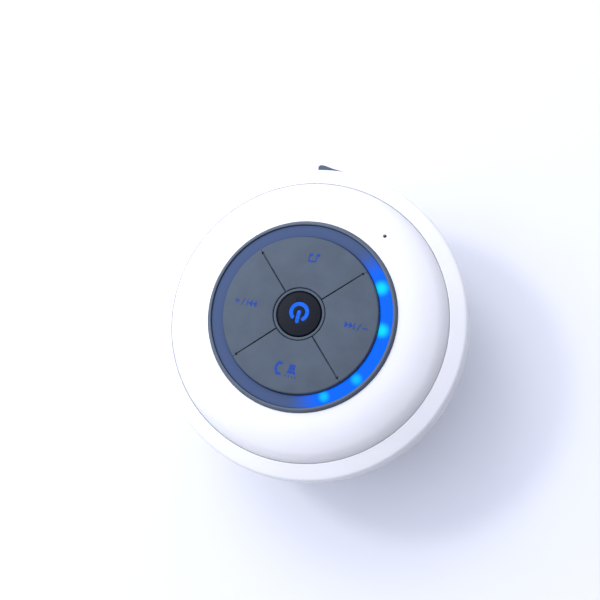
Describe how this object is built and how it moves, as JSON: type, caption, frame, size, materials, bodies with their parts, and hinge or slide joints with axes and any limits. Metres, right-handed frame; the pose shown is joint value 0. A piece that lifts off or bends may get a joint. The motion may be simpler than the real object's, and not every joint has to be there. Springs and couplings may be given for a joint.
{
  "type": "shower speaker",
  "caption": "Round splash-proof speaker on a suction cup, with a rubber keypad, a light ring and a covered charging port.",
  "frame": {"origin": "centre of the suction cup's lip, in the plane of the wall or table it sticks to", "axes": "+Z along the speaker's axis out of the keypad, +Y towards the top of the keypad's legends, +X to their right"},
  "size_m": [0.086, 0.0867, 0.0546],
  "materials": {
    "white_abs": "satin white moulded ABS",
    "grey_silicone": "matt blue-grey silicone rubber",
    "frosted_diffuser": "frosted translucent ring, lit blue from below",
    "black_abs": "near-black moulded ABS",
    "blue_lens": "clear blue light guide",
    "clear_silicone": "soft translucent silicone",
    "black_rubber": "black moulded rubber",
    "circuit_board": "green solder resist on glass epoxy",
    "chip_epoxy": "black moulding compound",
    "tin_plate": "tin-plated sheet",
    "steel": "zinc-plated steel",
    "ferrite": "sintered ferrite",
    "copper": "enamelled copper winding",
    "paper_cone": "coated polypropylene paper",
    "battery_foil": "laminated pouch foil",
    "foam": "closed-cell foam with adhesive",
    "mesh_cloth": "woven acoustic mesh",
    "wire_jacket": "red insulated wire"
  },
  "bodies": {
    "cup": {"suction_cup": "clear_silicone"},
    "hub": {"cup_hub": "white_abs"},
    "housing": {"cup_post": "white_abs", "cup_post_screw": "steel", "rear_shell": "white_abs", "front_shell": "white_abs", "shell_seal": "black_rubber", "shell_screw_1": "steel", "shell_screw_2": "steel", "shell_screw_3": "steel", "shell_screw_4": "steel", "bezel_ring": "grey_silicone", "light_ring": "frosted_diffuser", "keypad_base": "grey_silicone", "key_board": "circuit_board", "lamp_strip": "circuit_board", "switch_power": "chip_epoxy", "switch_call": "chip_epoxy", "switch_next": "chip_epoxy", "switch_mode": "chip_epoxy", "switch_previous": "chip_epoxy", "board_carrier": "black_abs", "main_board": "circuit_board", "usb_socket": "tin_plate", "battery_pad": "foam", "battery": "battery_foil", "radio_module": "tin_plate", "amplifier_chip": "chip_epoxy", "output_coil": "ferrite", "filter_capacitor": "battery_foil", "board_link": "black_abs", "mic_boot": "black_rubber", "microphone": "tin_plate", "battery_lead": "wire_jacket", "speaker_lead": "wire_jacket", "driver_basket": "steel", "driver_plate": "steel", "driver_magnet": "ferrite", "driver_yoke": "steel", "driver_surround": "black_rubber", "driver_spider": "mesh_cloth", "driver_gasket": "foam", "rain_cloth": "mesh_cloth", "usb_cover_strap": "grey_silicone"},
    "power_key": {"power_cap": "black_abs", "power_lens": "blue_lens", "switch_stem_power": "tin_plate"},
    "call_key": {"key_call": "grey_silicone", "switch_stem_call": "tin_plate"},
    "next_key": {"key_next": "grey_silicone", "switch_stem_next": "tin_plate"},
    "mode_key": {"key_mode": "grey_silicone", "switch_stem_mode": "tin_plate"},
    "previous_key": {"key_previous": "grey_silicone", "switch_stem_previous": "tin_plate"},
    "port_cover": {"usb_cover": "grey_silicone"},
    "cone": {"driver_cone": "paper_cone", "dust_cap": "paper_cone", "voice_coil": "copper"}
  },
  "joints": [
    {"name": "cup_press", "type": "slide", "parent": "cup", "child": "hub", "axis": [0, 0, -1], "range_m": [0, 0.0024], "stiffness_N_per_m": 2000, "springref_m": -0.0015, "deforming": ["suction_cup"]},
    {"name": "cup_swivel", "type": "hinge", "parent": "hub", "child": "housing", "pos_m": [0, 0, 0.0125], "axis": [0, 0, 1], "continuous": true},
    {"name": "power_press", "type": "slide", "parent": "housing", "child": "power_key", "axis": [0, 0, -1], "range_m": [0, 0.0005], "stiffness_N_per_m": 1500, "springref_m": -0.0002},
    {"name": "call_press", "type": "hinge", "parent": "housing", "child": "call_key", "pos_m": [0, 0.0204, 0.0528], "axis": [1, 0, 0], "range_deg": [0, 3], "stiffness_Nm_per_rad": 0.15, "springref_deg": -0.57},
    {"name": "next_press", "type": "hinge", "parent": "housing", "child": "next_key", "pos_m": [0.0204, 0, 0.0528], "axis": [0, -1, 0], "range_deg": [0, 3], "stiffness_Nm_per_rad": 0.15, "springref_deg": -0.57},
    {"name": "mode_press", "type": "hinge", "parent": "housing", "child": "mode_key", "pos_m": [0, -0.0204, 0.0528], "axis": [-1, 0, 0], "range_deg": [0, 3], "stiffness_Nm_per_rad": 0.15, "springref_deg": -0.57},
    {"name": "previous_press", "type": "hinge", "parent": "housing", "child": "previous_key", "pos_m": [-0.0204, 0, 0.0528], "axis": [0, 1, 0], "range_deg": [0, 3], "stiffness_Nm_per_rad": 0.15, "springref_deg": -0.57},
    {"name": "port_cover_swing", "type": "hinge", "parent": "housing", "child": "port_cover", "pos_m": [-0.0084, -0.0423, 0.0398], "axis": [0, 0, -1], "range_deg": [0, 110]},
    {"name": "cone_travel", "type": "slide", "parent": "housing", "child": "cone", "axis": [0, 0, -1], "range_m": [-0.0005, 0.0005], "stiffness_N_per_m": 1500}
  ]
}
